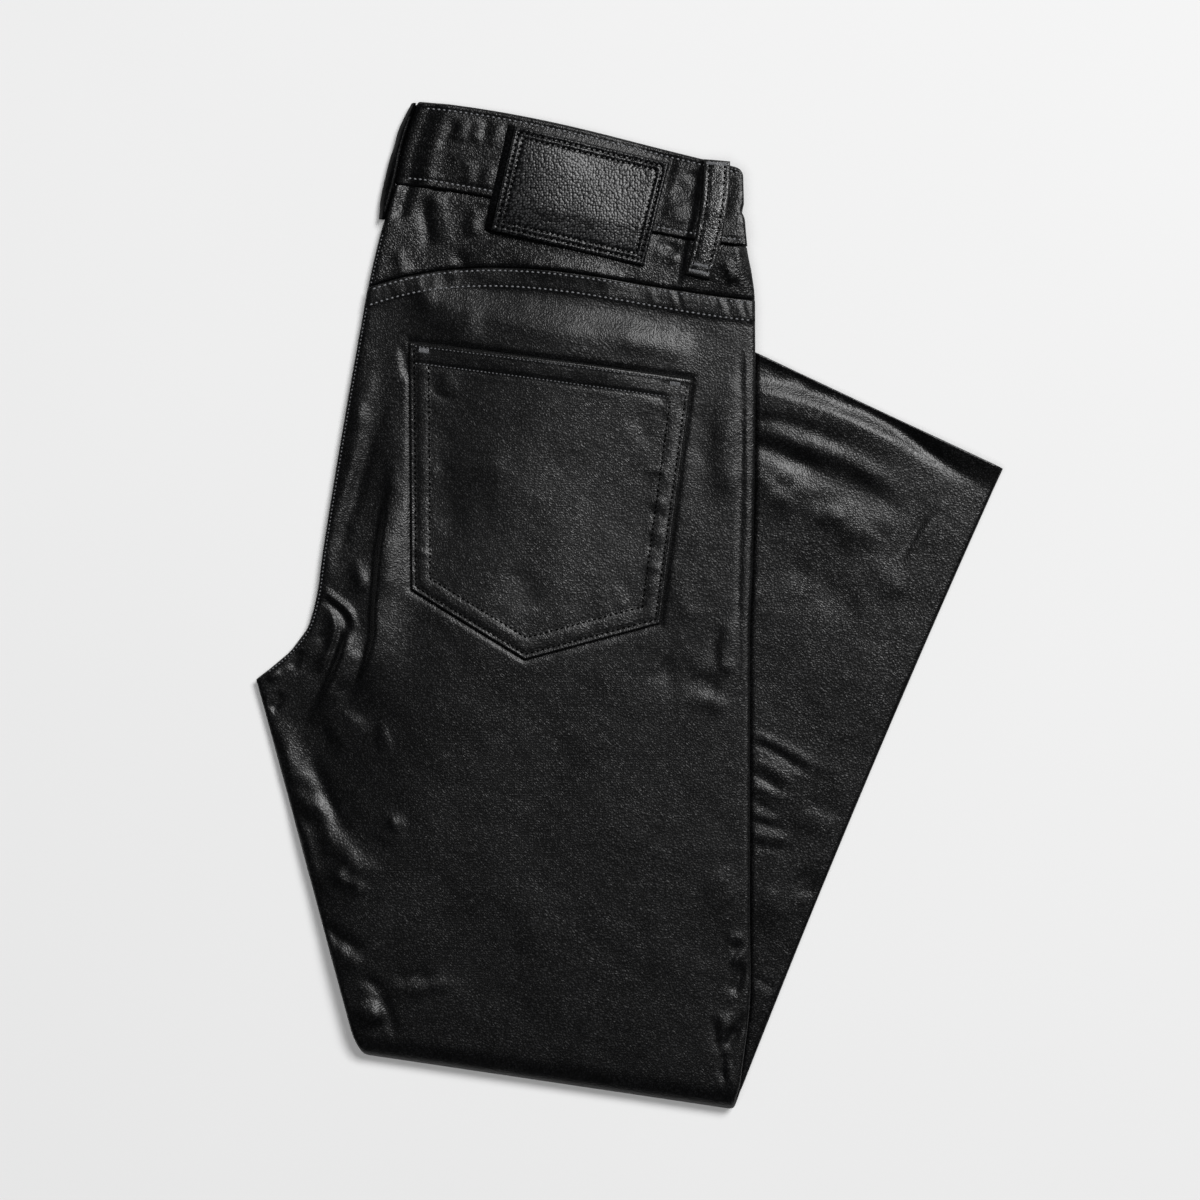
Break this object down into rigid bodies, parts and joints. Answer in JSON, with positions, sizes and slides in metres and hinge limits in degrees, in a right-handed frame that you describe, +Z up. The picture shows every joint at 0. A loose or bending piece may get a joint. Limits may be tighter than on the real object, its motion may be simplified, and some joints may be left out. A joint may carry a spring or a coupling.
{
  "type": "folded coated flared jeans",
  "caption": "Coated flared denim jeans, folded lengthwise with the backs outside and once across the knee, lying flat.",
  "frame": {"origin": "bottom centre of the bounding box, on the surface that the jeans lie on", "axes": "+Z up, +Y towards the waist end, +X towards the side seams and the hem"},
  "size_m": [0.374, 0.5035, 0.0162],
  "materials": {
    "coated_denim": "semi-gloss coating over stretch denim, fine wrinkled grain",
    "patch_leather": "satin pebbled leather, bare",
    "thread": "tone-on-tone topstitching thread with a dull shine"
  },
  "bodies": {
    "root": {"back_leg_right": "coated_denim", "back_leg_left": "coated_denim", "inner_layers": "coated_denim", "yoke_right": "coated_denim", "yoke_left": "coated_denim", "waistband_back": "coated_denim", "back_pocket_right": "coated_denim", "belt_loop_side": "coated_denim", "belt_loop_back": "coated_denim", "belt_loop_centre": "coated_denim", "patch": "patch_leather"}
  },
  "joints": []
}
